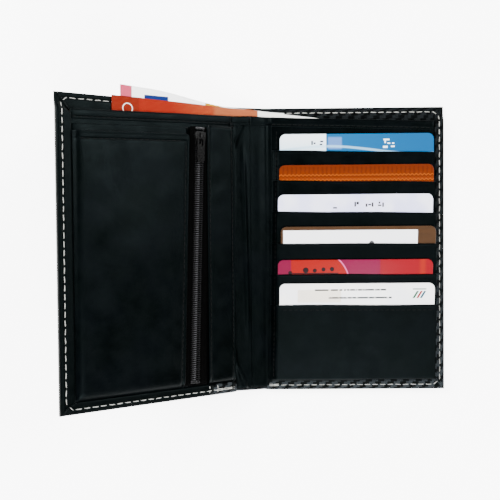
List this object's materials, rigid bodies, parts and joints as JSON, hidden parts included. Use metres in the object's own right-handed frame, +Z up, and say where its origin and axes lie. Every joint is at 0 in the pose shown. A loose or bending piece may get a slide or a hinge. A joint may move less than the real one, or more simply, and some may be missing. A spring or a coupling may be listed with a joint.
{
  "type": "bifold wallet",
  "caption": "Tall bifold leatherette wallet, half open, with staggered card slots, a slip pocket, a zipped pocket and a full-height bill compartment.",
  "frame": {"origin": "centre of the right half's outer face, which lies on the table", "axes": "+X from the fold towards the right half's outer edge, +Y along the fold towards the open top of the bill compartment, +Z up off the table"},
  "size_m": [0.2035, 0.1649, 0.0624],
  "materials": {
    "smooth_leatherette": "smooth leatherette, fine grain, satin",
    "textured_leatherette": "embossed twill-look leatherette, semi-gloss blocks",
    "interior_leatherette": "soft smooth leatherette, satin",
    "board": "stiffener board, hidden",
    "lining_fabric": "thin woven lining, matt",
    "white_thread": "polyester thread",
    "zip_tape": "woven nylon tape",
    "zip_coil": "nylon coil",
    "zip_metal": "glossy black enamel",
    "card_blue": "printed laminate, satin",
    "card_orange": "printed laminate, satin",
    "card_lavender": "printed laminate, satin",
    "card_brown": "printed laminate, satin",
    "card_magenta": "printed laminate, satin",
    "card_white": "printed laminate, satin",
    "note_red": "printed paper",
    "note_pale": "printed paper"
  },
  "bodies": {
    "right_half": {"right_cover": "textured_leatherette", "right_cover_board": "board", "right_cover_lining": "lining_fabric", "right_hem_top": "textured_leatherette", "right_hem_side": "textured_leatherette", "right_hem_bottom": "textured_leatherette", "right_interior_panel": "interior_leatherette", "right_top_binding": "interior_leatherette", "card_pocket_1": "interior_leatherette", "card_pocket_2": "interior_leatherette", "card_pocket_3": "interior_leatherette", "card_pocket_4": "interior_leatherette", "card_pocket_5": "interior_leatherette", "card_pocket_6": "interior_leatherette", "right_hem_thread": "white_thread"},
    "spine": {"spine_cover": "textured_leatherette", "spine_hem_top": "textured_leatherette", "spine_hem_bottom": "textured_leatherette", "spine_lining": "lining_fabric", "spine_gusset": "interior_leatherette", "note_back": "note_pale", "note_front": "note_red"},
    "left_half": {"left_cover": "smooth_leatherette", "left_cover_accent": "textured_leatherette", "left_cover_board": "board", "left_cover_lining": "lining_fabric", "left_hem_top": "smooth_leatherette", "left_hem_top_accent": "textured_leatherette", "left_hem_bottom": "smooth_leatherette", "left_hem_bottom_accent": "textured_leatherette", "left_hem_side": "smooth_leatherette", "left_interior_panel": "interior_leatherette", "left_top_binding": "interior_leatherette", "left_hem_thread": "white_thread", "seam_thread_1": "white_thread", "seam_thread_2": "white_thread", "zip_pocket_front": "interior_leatherette", "slip_pocket_panel": "interior_leatherette", "zip_side_strip": "interior_leatherette", "zip_tape_outer": "zip_tape", "zip_tape_inner": "zip_tape", "zip_coil_outer": "zip_coil", "zip_coil_inner": "zip_coil", "zip_top_stop": "zip_metal", "zip_bottom_stop": "zip_metal"},
    "zip_slider": {"zip_slider": "zip_metal"},
    "zip_pull": {"zip_pull": "zip_metal"},
    "card_1": {"card_1": "card_blue"},
    "card_2": {"card_2": "card_orange"},
    "card_3": {"card_3": "card_lavender"},
    "card_4": {"card_4": "card_brown"},
    "card_5": {"card_5": "card_magenta"},
    "card_6": {"card_6": "card_white"}
  },
  "joints": [
    {"name": "right_fold", "type": "hinge", "parent": "right_half", "child": "spine", "pos_m": [-0.05014, 0, 0.0021], "axis": [0, 1, 0], "range_deg": [-16, 74], "deforming": ["spine_gusset", "note_back", "note_front"]},
    {"name": "left_fold", "type": "hinge", "parent": "spine", "child": "left_half", "pos_m": [-0.06745, 0, 0.00706], "axis": [0, 1, 0], "range_deg": [-16, 74]},
    {"name": "zip_slide", "type": "slide", "parent": "left_half", "child": "zip_slider", "axis": [-0.0281, -0.9995, 0.0176], "range_m": [0, 0.124]},
    {"name": "pull_turn", "type": "hinge", "parent": "zip_slider", "child": "zip_pull", "pos_m": [-0.08424, 0.06027, 0.02404], "axis": [-0.8476, 0.0332, 0.5296], "range_deg": [0, 180]},
    {"name": "card_1_slide", "type": "slide", "parent": "right_half", "child": "card_1", "axis": [0, 0.9998, 0.0175], "range_m": [0, 0.044]},
    {"name": "card_2_slide", "type": "slide", "parent": "right_half", "child": "card_2", "axis": [0, 0.9991, 0.0419], "range_m": [0, 0.044]},
    {"name": "card_3_slide", "type": "slide", "parent": "right_half", "child": "card_3", "axis": [0, 0.9982, 0.0593], "range_m": [0, 0.043]},
    {"name": "card_4_slide", "type": "slide", "parent": "right_half", "child": "card_4", "axis": [0, 0.9973, 0.0732], "range_m": [0, 0.044]},
    {"name": "card_5_slide", "type": "slide", "parent": "right_half", "child": "card_5", "axis": [0, 0.9968, 0.0802], "range_m": [0, 0.045]},
    {"name": "card_6_slide", "type": "slide", "parent": "right_half", "child": "card_6", "axis": [0, 0.9965, 0.0837], "range_m": [0, 0.041]}
  ],
  "couplings": [
    {"joint": "right_fold", "follows": "left_fold", "ratio": 1}
  ]
}
